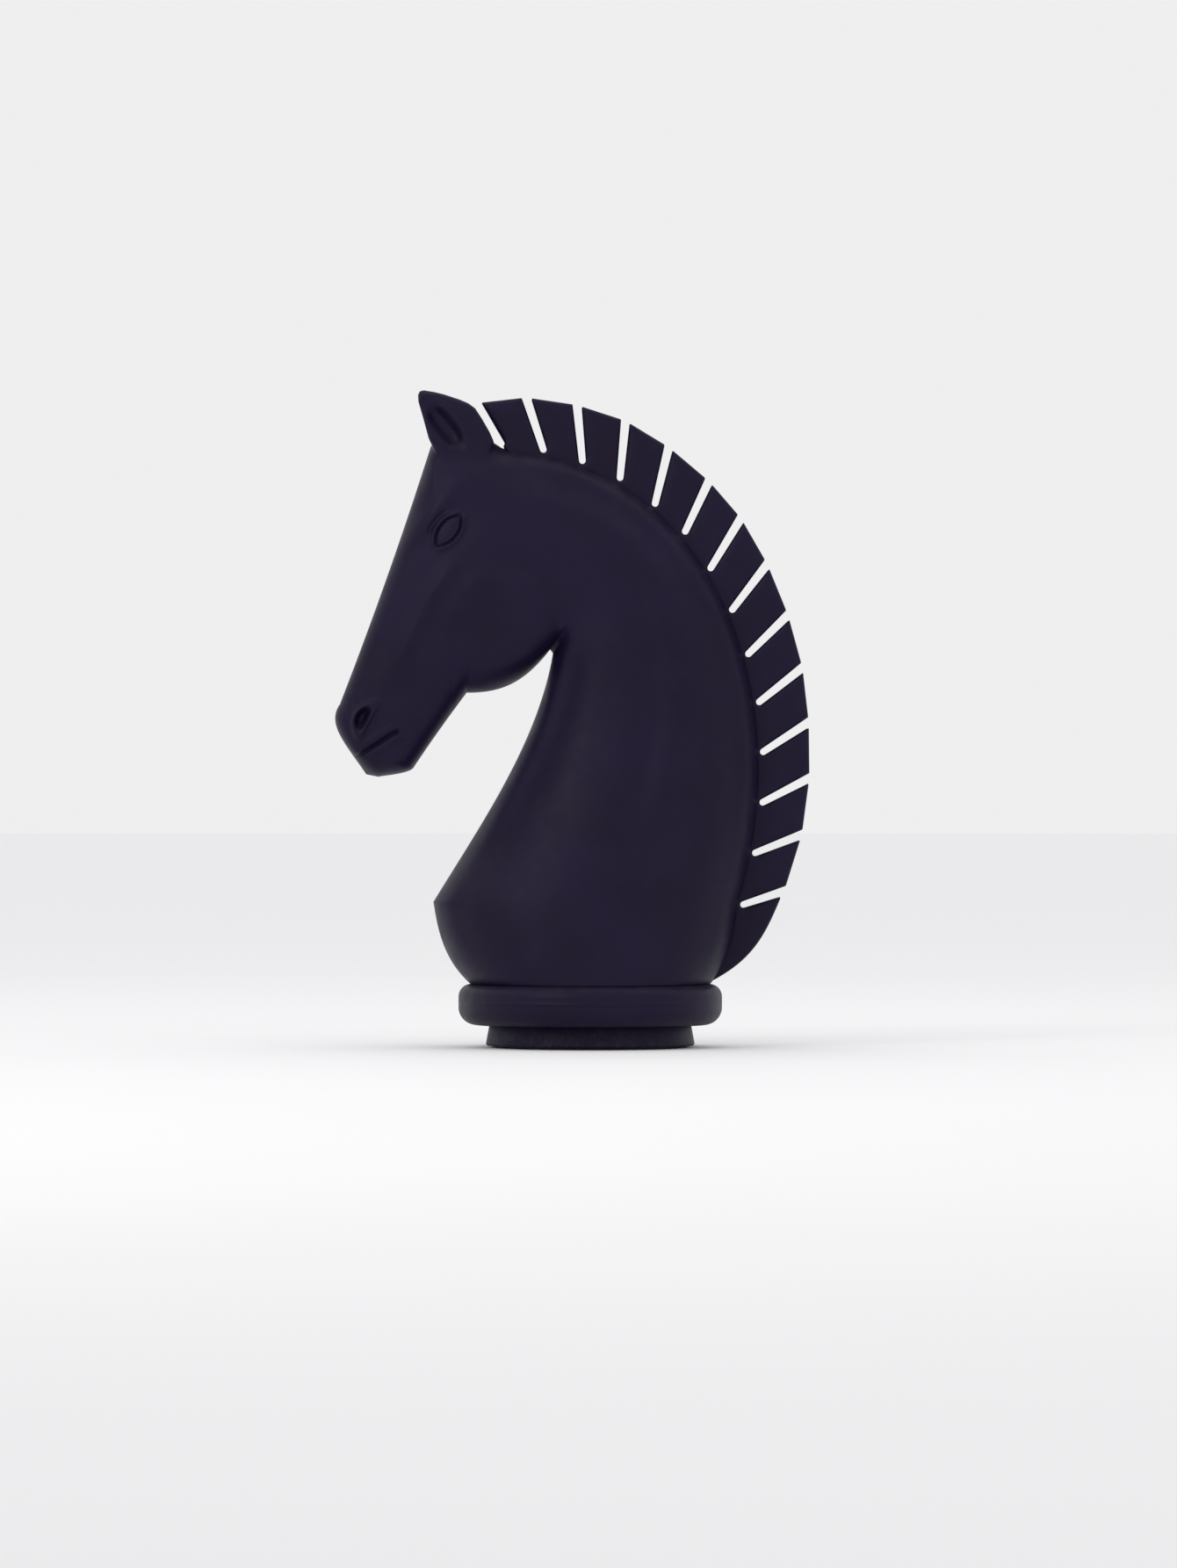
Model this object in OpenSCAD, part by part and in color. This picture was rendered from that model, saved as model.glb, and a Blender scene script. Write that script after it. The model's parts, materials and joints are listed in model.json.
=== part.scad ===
// Giant knight, a garden chess piece that stands on the ground.
// Head and neck are two moulded half shells, screwed together round a slotted mane plate.
// They slide down over a ballast tank, and a collar screws them on to the foot.
// Origin: centre of the foot's underside, +Z up. The horse faces -X, and its left side is -Y.

/* [Shells] */
// Wall thickness of the two half shells
wall = 4; // [3:0.5:5]
// Radius of the shells where they stand on the collar
bust_r = 96; // [95:0.5:97]
// Rings of the shells' surface around each cross-section, from edge to edge
steps = 18; // [12:2:24]

/* [Mane] */
// Thickness of the mane plate
mane_t = 26; // [20:1:28]
// Slot width at its closed end
slot_root_w = 5.3; // [4:0.1:6]
// Slot width at the mane's outer edge
slot_mouth_w = 7; // [5:0.1:8]
// How far the mane plate reaches in between the shells
tongue = 24; // [20:1:28]

/* [Collar] */
// Outer radius of the collar
collar_r = 105; // [103:0.5:107]
// Height of the collar's top face
collar_top = 50; // [49:0.5:50]
// Height of the collar's lower face
collar_base = 17.5; // [17:0.5:19]

/* [Foot] */
// Radius of the foot at the ground
foot_r = 83.5; // [82:0.5:86]
// Radius of the foot where it meets the collar
foot_top_r = 80.5; // [80:0.5:82]

/* [Ballast tank] */
// Outer radius of the tank
tank_r = 64; // [58:1:64]
// Height of the tank's lid
tank_top = 96; // [80:2:100]
// Height of the sand in the tank
sand_top = 78; // [40:2:78]
// Radius of the filler neck's bore
filler_r = 22; // [18:1:24]

/* [Hidden] */
$fn = 96;

plum = "#1c1230";
gap = 0.3;         // clearance between pieces that move on each other
bust_base = collar_top + 0.5;

// Outline of the head and neck, seen from the side, as cubic Bezier curves of [x, z].
chest = [[-bust_r, bust_base], [-115.5, 68], [-121.5, 90.5], [-125, 115.5]];
throat = [[-125, 115.5], [-87.5, 177], [-41, 243], [-29.5, 315]];
jaw = [[-32, 316.5], [-50.5, 292.5], [-68, 281.5], [-98.5, 282]];
jowl = [[-98.5, 282], [-113.5, 262], [-127.5, 242.5], [-141, 222]];
lip = [[-141, 222], [-145, 217.5], [-161, 216.5], [-169, 215]];
heel = [[bust_r, bust_base], [109, 66], [116, 88], [118, 112]];
nape = [[118, 112], [173.5, 288.5], [92, 470], [-70, 476.5]];
poll = [[-70, 476.5], [-88, 491], [-112, 493], [-127, 478.5]];
nose = [[-127, 478.5], [-148.6, 410.2], [-172.5, 342.5], [-199.5, 273]];
muzzle = [[-199.5, 273], [-210.2, 257.8], [-197, 243.5], [-178.5, 217]];
withers = [[96, bust_base + 1.5], [129, 69], [139, 88], [151.5, 118.5]];

// The shells are cross-sections strung between a front curve and a back curve. Each row holds the
// front curve with its span, the back curve with its span, and how many sections it makes.
SPANS = [
    [chest, 0, 1, heel, 0, 1, 5],
    [throat, 0, 0.55, nape, 0, 0.36, 8],
    [throat, 0.55, 1, nape, 0.36, 0.66, 8],
    [jaw, 0, 1, nape, 0.66, 1, 9],
    [jowl, 0, 0.22, poll, 0, 1, 5],
    [jowl, 0.22, 1, nose, 0, 0.93, 10],
    [lip, 0, 0.35, nose, 0.93, 1, 2],
    [lip, 0.35, 1, muzzle, 0, 1, 5]];
// Half thickness of the shells at the start of each span and at the end of the last one.
HALF_T = [bust_r, 88, 61, 49, 43, 40, 29, 28.5, 19];
// How square each cross-section is at the same places: 2 is an ellipse.
SQUARE = [2, 2.1, 2.2, 2.3, 2.4, 2.5, 2.5, 2.4, 2.2];

// The wall is thicker at the notch between jaw and throat, where the sections crowd together.
notch_section = 22.3;
notch_wall = 12;

// Slots of the mane from poll to withers: [closed end, outer end], each [x, z].
SLOTS = [
    [[-69.5, 478], [-90.5, 512.5]], [[-36.5, 473], [-51, 517]], [[-6, 464], [-10.5, 511]],
    [[23.5, 450.5], [28, 498.5]], [[51, 430], [62.5, 477.5]], [[74.5, 408], [94.5, 450.5]],
    [[94.5, 379], [120, 421]], [[111.5, 346], [141, 384.5]], [[124, 311], [157.5, 344]],
    [[132.5, 273], [169, 302]], [[135.5, 233.5], [174, 258.5]], [[135, 193.5], [174.5, 214]],
    [[129, 153.5], [168.5, 169]], [[119.5, 112.5], [154.5, 124]]];

// Ear seen from the side as [x, z], and seen from the front as [y, z].
EAR = [[-128, 462], [-128, 484], [-136.5, 515], [-136, 522], [-133.5, 522.3], [-117, 519],
    [-104, 515], [-97, 512], [-92, 508], [-86, 498.5], [-73.5, 478.5], [-84, 462]];
EAR_FRONT = [[8, 462], [7, 484], [8.5, 500], [12, 513], [17, 523], [20, 523], [24, 514],
    [27, 502], [28, 484], [27, 462]];

// Screws that join the shells: [section, place across it from -1 at the front to 1 at the back].
SCREWS = [[3, -0.8], [3, 0.78], [10, -0.62], [10, 0.865], [17, 0.84], [25, 0.845], [31, 0.8],
    [17, -0.7], [31, -0.72], [41, 0.5], [45, -0.2]];
screw_r = 3;
screw_head_r = 5.5;
screw_head_h = 4;
screw_socket_r = 2.9;
screw_socket_h = 2.5;
screw_floor = 15.5;     // height of the seat under each screw head, from the middle plane
screw_tip = -21;
insert_r = 4.2;
insert_l = 7;
well_r = 6.4;
boss_r = 9.5;
cap_h = 4;
cap_proud = 0.5;
reach = 100;            // longer than anything it cuts through

// Neck ring, screwed up into the shells' floor.
neck_base = 34.4;
neck_flange_h = 5;
neck_r = 73;
neck_flange_r = 79.4;
neck_bore_r = tank_r + 0.8;
neck_screw_circle = 69;
neck_screw_r = 1.7;
neck_screw_l = 24;
neck_head_r = 3.6;
neck_head_h = 3;
neck_sink = 4.5;
washer_h = 0.8;

// Collar and the thread it turns on.
collar_lip_z = 40.5;
collar_low_round = 14;
collar_top_round = 10;
thread_r = 80;
thread_pitch = 4;
thread_depth = 0.8;

// Foot, its seal groove and the plate under it.
pad_h = 3;
plate_h = 4;
flange_h = 3;
flange_r = 74;
plate_r = foot_r - 6;
plinth_base = 1;
plinth_top = neck_base - gap;
seal_in = 69;
seal_out = 73;
seal_h = 1.6;
base_screw_circle = 69;
base_screw_r = 1.6;
base_screw_l = 14;
base_head_r = 4;
base_head_h = 2;

// Ballast tank, its lid and the filler.
tank_wall = 3.6;
lid_h = 3.5;
lid_rib_w = 4;
lid_rib_h = 6;
filler_h = 12;
filler_wall = 4;
filler_r_out = filler_r + filler_wall;
filler_thread = 0.5;
gasket_h = 1.4;
cap_wall = 4;
cap_ribs = 24;
cap_rib_r = 1.2;

function bezier(c, t) =
    (1 - t) ^ 3 * c[0] + 3 * (1 - t) ^ 2 * t * c[1] + 3 * (1 - t) * t ^ 2 * c[2] + t ^ 3 * c[3];
function part_of(c, a, b, t) = bezier(c, a + (b - a) * t);

// Catmull-Rom curve through the values of a list, at a place counted in list steps.
function along(list, u) =
    let (n = len(list) - 1, i = min(floor(u), n - 1), t = u - i,
        a = list[max(i - 1, 0)], b = list[i], c = list[i + 1], d = list[min(i + 2, n)])
    0.5 * (2 * b + (c - a) * t + (2 * a - 5 * b + 4 * c - d) * t ^ 2
        + (3 * b - a - 3 * c + d) * t ^ 3);

// Every cross-section as [front point, back point, half thickness, squareness].
SECTIONS = [for (k = [0:len(SPANS) - 1])
    let (s = SPANS[k], last = k == len(SPANS) - 1 ? 0 : 1)
    for (i = [0:s[6] - last])
        let (t = i / s[6])
        [part_of(s[0], s[1], s[2], t), part_of(s[3], s[4], s[5], t),
            along(HALF_T, k + t), along(SQUARE, k + t)]];

// A section's half thickness at place a across it, from -1 to 1.
function depth(section, a) = section[2] * (1 - abs(a) ^ section[3]) ^ (1 / section[3]);
function on_section(section, a) =
    let (p = section[0] + (section[1] - section[0]) * (a + 1) / 2)
    [p[0], max(depth(section, a), 0), p[1]];
// The same section with its rim moved in all round, by front_d at the front.
function inset_section(section, d, front_d) =
    let (u = (section[1] - section[0]) / norm(section[1] - section[0]))
    [section[0] + u * front_d, section[1] - u * d, max(section[2] - d, 2), section[3]];
// How near section i is to the notch of the throat, from 0 to 1.
function at_notch(i) = exp(-((i - notch_section) / 1.1) ^ 2);

// One half of the head and neck as a solid, from section a to section b, on the +Y side.
// It reaches past the middle plane by the distance past, and keeps clear of the notch by notch.
module half_body(a, b, inset, past, notch = 0) {
    rows = [for (i = [a:b])
        let (s = inset_section(SECTIONS[i], inset, inset + notch * at_notch(i)))
        concat([[s[0][0], -past, s[0][1]]],
            [for (j = [1:steps - 1]) on_section(s, -cos(180 * j / steps))],
            [[s[1][0], -past, s[1][1]]])];
    w = steps + 1;
    n = b - a;
    skin = [for (i = [0:n - 1], j = [0:w - 2])
        each [[i * w + j, i * w + j + 1, (i + 1) * w + j + 1],
            [i * w + j, (i + 1) * w + j + 1, (i + 1) * w + j]]];
    // The flat side is split across from the front, so that it does not fold over at the notch.
    flat = [for (i = [0:n - 1])
        each [[(i + 1) * w - 1, i * w, (i + 2) * w - 1], [i * w, (i + 1) * w, (i + 2) * w - 1]]];
    ends = [[for (j = [w - 1:-1:0]) j], [for (j = [0:w - 1]) n * w + j]];
    polyhedron(points = [for (row = rows) each row], faces = concat(skin, flat, ends));
}

// Turns a shape drawn in [x, z] upright, from y = a to y = b.
module upright(a, b) {
    translate([0, b, 0]) rotate([90, 0, 0]) linear_extrude(b - a) children();
}

module each_screw() {
    for (s = SCREWS) {
        p = on_section(SECTIONS[s[0]], s[1]);
        translate([p[0], 0, p[2]]) rotate([-90, 0, 0]) children();
    }
}

module around(count, radius, turn) {
    for (i = [0:count - 1]) rotate(turn + 360 * i / count) translate([radius, 0, 0]) children();
}

// A turned piece from points of [radius, z].
module turned(points) {
    rotate_extrude() polygon(points);
}

// A turned ring from radius a to radius b, with its lower face at z.
module ring(a, b, z, h) {
    turned([[a, z], [b, z], [b, z + h], [a, z + h]]);
}

// Ridges that stand for a thread, as separate rings on radius r from z = a to z = b.
module thread_rings(r, a, b, pitch, out) {
    for (z = [a:pitch:b]) translate([0, 0, z])
        turned([[r - 2, -1.2], [r, -1.2], [r + out, -0.4], [r + out, 0.4], [r, 1.2], [r - 2, 1.2]]);
}

// One of the two ears, as far as its side and front outlines both allow.
module ear() {
    intersection() {
        upright(0, boss_r * 3) polygon(EAR);
        translate([-150, 0, 0]) rotate([90, 0, 90]) linear_extrude(reach) polygon(EAR_FRONT);
    }
}

module mane_outline(grow = 0) {
    inner = [for (i = [0:12]) let (p = bezier(nape, i / 12), q = bezier(nape, i / 12 + 0.001))
        p + (tongue + grow) * [-(q - p)[1], (q - p)[0]] / norm(q - p)];
    polygon(concat([[97 - tongue, bust_base + 12], [92, bust_base + 12], [92, bust_base + 1]],
        [for (i = [0:12]) bezier(withers, i / 12)],
        [for (i = [len(SLOTS) - 1:-1:0]) SLOTS[i][1] + grow * [1, 1]],
        [SLOTS[0][0] + [-grow, 0]], [for (i = [11:-1:0]) inner[i]]));
}

module mane_slot(s) {
    u = (s[1] - s[0]) / norm(s[1] - s[0]);
    v = [-u[1], u[0]];
    c = s[0] + u * slot_root_w / 2;
    m = s[1] + u * 6;
    translate(c) circle(slot_root_w / 2, $fn = 32);
    polygon([c + v * slot_root_w / 2, m + v * slot_mouth_w / 2,
        m - v * slot_mouth_w / 2, c - v * slot_root_w / 2]);
}

// Right half shell, without the screw wells: the left one is its mirror image.
module shell_blank() {
    last = len(SECTIONS) - 1;
    difference() {
        union() {
            difference() {
                half_body(0, last, 0, 0);
                half_body(1, last - 2, wall, 1, notch_wall);
            }
            intersection() {
                half_body(0, last, 0.5, 0);
                each_screw() cylinder(r = boss_r, h = reach);
            }
            ear();
        }
        upright(-1, mane_t / 2 + 0.2) mane_outline(0.2);
        translate([0, 0, bust_base - 1]) cylinder(r = neck_bore_r + 1, h = tank_top - bust_base);
        neck_screw_places() cylinder(r = neck_screw_r, h = neck_screw_l + 1);
    }
}

module bust_shell_left() {
    color(plum) difference() {
        mirror([0, 1, 0]) shell_blank();
        each_screw() translate([0, 0, screw_tip - 1]) cylinder(r = insert_r, h = reach);
    }
}

// Cut on the left side of the middle plane, like the other shell, and then turned over.
module bust_shell_right() {
    color(plum) mirror([0, 1, 0]) difference() {
        mirror([0, 1, 0]) shell_blank();
        each_screw() mirror([0, 0, 1]) {
            translate([0, 0, -1]) cylinder(r = screw_r + gap, h = reach);
            translate([0, 0, screw_floor]) cylinder(r = well_r, h = reach);
        }
    }
}

module mane_crest() {
    color(plum) difference() {
        upright(-mane_t / 2, mane_t / 2) difference() {
            mane_outline();
            for (s = SLOTS) mane_slot(s);
        }
        each_screw() translate([0, 0, -mane_t]) cylinder(r = screw_r + gap, h = 2 * mane_t);
    }
}

module shell_screws() {
    color("silver") each_screw() {
        translate([0, 0, screw_tip]) cylinder(r = screw_r, h = screw_floor - screw_tip);
        translate([0, 0, screw_floor]) difference() {
            cylinder(r = screw_head_r, h = screw_head_h);
            translate([0, 0, screw_head_h - screw_socket_h])
                cylinder(r = screw_socket_r, h = screw_head_h, $fn = 6);
        }
    }
}

module screw_inserts() {
    color("goldenrod") each_screw() translate([0, 0, screw_tip]) difference() {
        cylinder(r = insert_r, h = insert_l);
        translate([0, 0, -1]) cylinder(r = screw_r, h = insert_l + 2);
    }
}

// Plugs pushed into the screw wells, following the shell's surface a little proud of it.
module screw_caps() {
    last = len(SECTIONS) - 1;
    color(plum) difference() {
        intersection() {
            half_body(0, last, -cap_proud, 0);
            each_screw() translate([0, 0, screw_floor + screw_head_h + 0.5])
                cylinder(r = well_r - 0.1, h = reach, $fn = 32);
        }
        half_body(0, last, cap_h, 0);
    }
}

module neck_screw_places() {
    around(6, neck_screw_circle, 30) translate([0, 0, neck_base + 0.5]) children();
}

module neck_ring() {
    color(plum) difference() {
        turned([[neck_bore_r, neck_base], [neck_flange_r, neck_base],
            [neck_flange_r, neck_base + neck_flange_h], [neck_r, neck_base + neck_flange_h],
            [neck_r, bust_base], [neck_bore_r, bust_base]]);
        neck_screw_places() translate([0, 0, -1]) {
            cylinder(r = neck_screw_r + 0.5, h = neck_screw_l + 2);
            cylinder(r = neck_head_r + 0.2, h = neck_sink);
        }
    }
}

module neck_screws() {
    color("silver") neck_screw_places() difference() {
        union() {
            cylinder(r = neck_head_r, h = neck_head_h);
            cylinder(r = neck_screw_r, h = neck_screw_l);
        }
        translate([0, 0, -1]) cylinder(r = neck_head_r / 2, h = 2.6, $fn = 6);
    }
}

module slip_washer() {
    color("ivory") ring(neck_r + 0.2, neck_flange_r, neck_base + neck_flange_h, washer_h);
}

module collar_ring() {
    low = collar_low_round;
    high = collar_top_round;
    wall_in = thread_r - 8;
    color(plum) rotate_extrude() difference() {
        union() {
            translate([collar_r - low, collar_base + low]) circle(low);
            translate([collar_r - high, collar_top - high]) circle(high);
            translate([wall_in, collar_base])
                square([collar_r - low - wall_in, collar_top - collar_base]);
            translate([wall_in, collar_top - 2 * high])
                square([collar_r - high - wall_in, 2 * high]);
            translate([collar_r - 2 * high, collar_base + low])
                square([2 * high, collar_top - collar_base - low - high]);
        }
        square([thread_r + thread_depth + gap, collar_lip_z]);
        square([neck_r + 2 * gap, collar_top + 1]);
    }
}

module foot_plinth() {
    tank_hole = tank_r + 0.2;
    step_z = pad_h + plate_h;
    color(plum) difference() {
        union() {
            turned([[plate_r, plinth_base], [foot_r, plinth_base], [foot_top_r, collar_base - gap],
                [thread_r, collar_base - gap], [thread_r, plinth_top - 1], [thread_r - 1, plinth_top],
                [tank_hole, plinth_top], [tank_hole, step_z + flange_h],
                [flange_r, step_z + flange_h], [flange_r, step_z], [plate_r, step_z]]);
            thread_rings(thread_r, collar_base + 3.5, plinth_top - 3, thread_pitch, thread_depth);
        }
        ring(seal_in, seal_out, plinth_top - seal_h, seal_h + 1);
        base_screw_places() cylinder(r = base_screw_r, h = base_screw_l);
    }
}

module neck_seal() {
    color("dimgray") ring(seal_in, seal_out, plinth_top - seal_h, seal_h);
}

module ballast_tank() {
    z = pad_h + plate_h;
    inner = tank_r - tank_wall;
    color("lightgray") difference() {
        turned([[0, z], [flange_r - 0.2, z], [flange_r - 0.2, z + flange_h], [tank_r, z + flange_h],
            [tank_r, tank_top], [inner, tank_top], [inner, z + flange_h], [0, z + flange_h]]);
        base_screw_places() cylinder(r = base_screw_r + 0.6, h = base_screw_l);
    }
}

module tank_lid() {
    z = tank_top;
    top = z + lid_h;
    rib_out = tank_r - tank_wall;
    rib_in = rib_out - lid_rib_w;
    color("lightgray") {
        turned([[filler_r, z - 3], [filler_r + 2, z - 3], [filler_r + 2, z], [rib_in, z],
            [rib_in, z - lid_rib_h], [rib_out, z - lid_rib_h], [rib_out, z], [tank_r, z],
            [tank_r, top - 1], [tank_r - 1, top], [filler_r_out, top],
            [filler_r_out, top + filler_h], [filler_r, top + filler_h]]);
        thread_rings(filler_r_out, top + 5, top + filler_h - 2, thread_pitch, filler_thread);
    }
}

module sand_fill() {
    z = pad_h + plate_h + flange_h;
    inner = tank_r - tank_wall;
    color("tan") turned([[0, z], [inner, z], [inner, sand_top - 3], [inner / 2, sand_top],
        [0, sand_top + 1]]);
}

module base_screw_places() {
    around(6, base_screw_circle, 0) translate([0, 0, pad_h]) children();
}

module base_plate() {
    color("dimgray") difference() {
        translate([0, 0, pad_h]) cylinder(r = plate_r - 0.2, h = plate_h);
        base_screw_places() {
            translate([0, 0, -1]) cylinder(r = base_screw_r + 0.6, h = plate_h + 2);
            cylinder(r1 = base_head_r + 0.2, r2 = base_screw_r + 0.6, h = base_head_h);
        }
    }
}

module base_screws() {
    color("silver") base_screw_places() difference() {
        union() {
            cylinder(r1 = base_head_r, r2 = base_screw_r, h = base_head_h);
            cylinder(r = base_screw_r, h = base_screw_l);
        }
        translate([0, 0, -1]) cylinder(r = base_screw_r - 0.3, h = 2.4, $fn = 6);
    }
}

module base_pad() {
    color("black") cylinder(r = plate_r - 1, h = pad_h);
}

module filler_cap() {
    z = tank_top + lid_h + 2;
    bore = filler_r_out + filler_thread + gap;
    outer = bore + cap_wall;
    top = tank_top + lid_h + filler_h + gasket_h + 2 * gap;
    color("orangered") difference() {
        union() {
            turned([[0, z], [outer, z], [outer, top + 2.5], [outer - 1.5, top + 4], [0, top + 4]]);
            around(cap_ribs, outer, 0) translate([0, 0, z]) cylinder(r = cap_rib_r, h = filler_h);
        }
        turned([[0, z - 1], [bore, z - 1], [bore, top], [0, top]]);
    }
}

module cap_gasket() {
    color("black") ring(filler_r, filler_r_out, tank_top + lid_h + filler_h + gap, gasket_h);
}

bust_shell_left();
bust_shell_right();
mane_crest();
shell_screws();
screw_inserts();
screw_caps();
neck_ring();
neck_screws();
slip_washer();
collar_ring();
foot_plinth();
neck_seal();
ballast_tank();
tank_lid();
sand_fill();
base_plate();
base_screws();
base_pad();
filler_cap();
cap_gasket();
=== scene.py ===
import json
import math

import bmesh
import bpy
import numpy as np
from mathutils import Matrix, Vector
from mathutils.bvhtree import BVHTree


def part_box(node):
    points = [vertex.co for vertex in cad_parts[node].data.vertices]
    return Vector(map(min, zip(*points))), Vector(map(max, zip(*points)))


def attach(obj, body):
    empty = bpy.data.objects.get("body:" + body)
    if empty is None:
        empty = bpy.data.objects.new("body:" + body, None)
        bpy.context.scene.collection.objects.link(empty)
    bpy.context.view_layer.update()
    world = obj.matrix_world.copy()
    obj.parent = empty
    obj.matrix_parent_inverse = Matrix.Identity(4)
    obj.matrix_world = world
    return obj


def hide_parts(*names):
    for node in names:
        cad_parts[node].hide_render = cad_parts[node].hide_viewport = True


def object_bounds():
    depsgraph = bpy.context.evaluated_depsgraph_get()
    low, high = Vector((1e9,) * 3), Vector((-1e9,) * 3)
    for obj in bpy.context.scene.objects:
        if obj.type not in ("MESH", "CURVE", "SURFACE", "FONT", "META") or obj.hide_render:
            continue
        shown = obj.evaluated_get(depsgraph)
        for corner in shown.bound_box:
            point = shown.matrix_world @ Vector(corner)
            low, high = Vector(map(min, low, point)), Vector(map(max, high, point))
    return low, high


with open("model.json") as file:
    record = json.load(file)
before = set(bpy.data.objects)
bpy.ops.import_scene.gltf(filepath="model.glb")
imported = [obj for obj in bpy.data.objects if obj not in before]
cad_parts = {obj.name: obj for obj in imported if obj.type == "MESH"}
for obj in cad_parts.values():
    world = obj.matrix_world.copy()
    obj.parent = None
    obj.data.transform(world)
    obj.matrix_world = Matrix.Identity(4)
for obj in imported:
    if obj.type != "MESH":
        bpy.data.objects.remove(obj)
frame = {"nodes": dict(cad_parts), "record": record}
cad_lo, cad_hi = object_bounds()
MM = 0.001
scene = bpy.context.scene

# ---------------------------------------------------------------- small helpers


def box_mm(node):
    lo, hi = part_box(node)
    return np.array(lo) / MM, np.array(hi) / MM


def smooth(x, a, b):
    """0 below a and 1 above b, with an even rise between them."""
    t = np.clip((np.asarray(x, float) - a) / (b - a), 0, 1)
    return t * t * (3 - 2 * t)


def bezier(c, t):
    """Points at t along a cubic curve of four control points."""
    c = np.asarray(c, float)
    t = np.asarray(t, float)[..., None]
    return (1 - t) ** 3 * c[0] + 3 * (1 - t) ** 2 * t * c[1] + 3 * (1 - t) * t**2 * c[2] + t**3 * c[3]


def catmull(values, u):
    """A smooth curve through evenly spaced values, read at u."""
    n = len(values) - 1
    i = min(int(math.floor(u)), n - 1)
    t = u - i
    a, b = values[max(i - 1, 0)], values[i]
    c, d = values[i + 1], values[min(i + 2, n)]
    return 0.5 * (2 * b + (c - a) * t + (2 * a - 5 * b + 4 * c - d) * t**2 + (3 * b - a - 3 * c + d) * t**3)


def corners_of(me):
    """Vertex positions in metres and the triangles over them."""
    co = np.zeros(len(me.vertices) * 3)
    me.vertices.foreach_get("co", co)
    me.calc_loop_triangles()
    tri = np.zeros(len(me.loop_triangles) * 3, int)
    me.loop_triangles.foreach_get("vertices", tri)
    return co.reshape(-1, 3), tri.reshape(-1, 3)


def face_outwards(me):
    co, tri = corners_of(me)
    a, b, c = (co[tri[:, i]] for i in range(3))
    if (a * np.cross(b, c)).sum() < 0:
        me.flip_normals()


def shade(me, sharp=35.0):
    me.polygons.foreach_set("use_smooth", [True] * len(me.polygons))
    me.set_sharp_from_angle(angle=math.radians(sharp))


def mesh_object(name, verts, faces, sharp=35.0, closed=True):
    """A smooth-shaded mesh from points in millimetres, in the row frame."""
    me = bpy.data.meshes.new(name)
    me.from_pydata((np.asarray(verts, float) * MM).tolist(), [], [list(map(int, f)) for f in faces])
    me.validate()
    if closed:
        face_outwards(me)
    shade(me, sharp)
    o = bpy.data.objects.new(name, me)
    scene.collection.objects.link(o)
    return o


def apply_boolean(o, cutter, operation):
    m = o.modifiers.new("cut", "BOOLEAN")
    m.operation = operation
    m.object = cutter
    m.solver = "MANIFOLD"
    bpy.context.view_layer.update()
    dg = bpy.context.evaluated_depsgraph_get()
    me = bpy.data.meshes.new_from_object(o.evaluated_get(dg))
    o.modifiers.clear()
    old = o.data
    o.data = me
    bpy.data.meshes.remove(old)
    bpy.data.objects.remove(cutter)


def lathe(name, profile, segments=192, pattern=None):
    """A turned piece about Z from a closed loop of [radius, z]; pattern(angle, r, z) adds to the radius."""
    p = np.asarray(profile, float)
    a = np.arange(segments) * 2 * math.pi / segments
    verts, index = [], []
    for r, z in p:
        if r < 1e-6:
            index.append([len(verts)] * segments)
            verts.append((0, 0, z))
        else:
            index.append(list(range(len(verts), len(verts) + segments)))
            q = r + (pattern(a, r, z) if pattern else 0 * a)
            verts += [(m * math.cos(t), m * math.sin(t), z) for m, t in zip(q, a)]
    faces = []
    n = len(p)
    for i in range(n):
        k = (i + 1) % n
        for j in range(segments):
            m = (j + 1) % segments
            f = [index[i][j], index[i][m], index[k][m], index[k][j]]
            f = [v for q, v in enumerate(f) if v not in f[:q]]
            if len(f) > 2:
                faces.append(f)
    return mesh_object(name, verts, faces)


# Half angles, in radians, past which a corner is too flat or too folded to round.
STRAIGHT, FOLDED = 1.55, 0.02


def rounded(profile, radii, n=5):
    """The profile with its corners rounded by the radii given, 0 for a corner left sharp."""
    p = np.asarray(profile, float)
    out = []
    for i, r in enumerate(radii):
        a, b, c = p[i - 1], p[i], p[(i + 1) % len(p)]
        u, v = (a - b) / np.linalg.norm(a - b), (c - b) / np.linalg.norm(c - b)
        half = math.acos(np.clip(u @ v, -1, 1)) / 2
        if r <= 0 or half > STRAIGHT or half < FOLDED:
            out.append(tuple(b))
            continue
        d = r / math.tan(half)
        m = b + (u + v) / np.linalg.norm(u + v) * r / math.sin(half)
        s, e = b + u * d - m, b + v * d - m
        for t in np.linspace(0, 1, n + 1):
            w = s * (1 - t) + e * t
            out.append(tuple(m + w / np.linalg.norm(w) * r))
    return out


def thread(r, z0, z1, pitch, depth, sign=1):
    """A pattern that winds a ridge round the cylinder of radius r, from z0 to z1."""

    def pattern(angle, radius, z):
        if abs(radius - r) > 0.05:
            return 0 * angle
        phase = ((z - z0) / pitch - angle / (2 * math.pi)) % 1
        ridge = smooth(0.5 - np.abs(phase - 0.5), 0.20, 0.38)
        start = smooth(z - z0 - pitch * 0.5 * (1 + angle / (2 * math.pi)) + pitch, 0, 1.5)
        ends = start * smooth(z1 - z, 0, 1.5)
        return sign * depth * ridge * ends

    return pattern


def arc(cx, cz, r, a0, a1, n):
    """Points of an arc in [radius, z], angles in degrees."""
    t = np.radians(np.linspace(a0, a1, n))
    return [(cx + r * math.cos(q), cz + r * math.sin(q)) for q in t]


def steps_between(r, z0, z1, n):
    """Points up a straight side, close enough together to carry a pattern."""
    return [(r, z) for z in np.linspace(z0, z1, n)]


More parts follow.
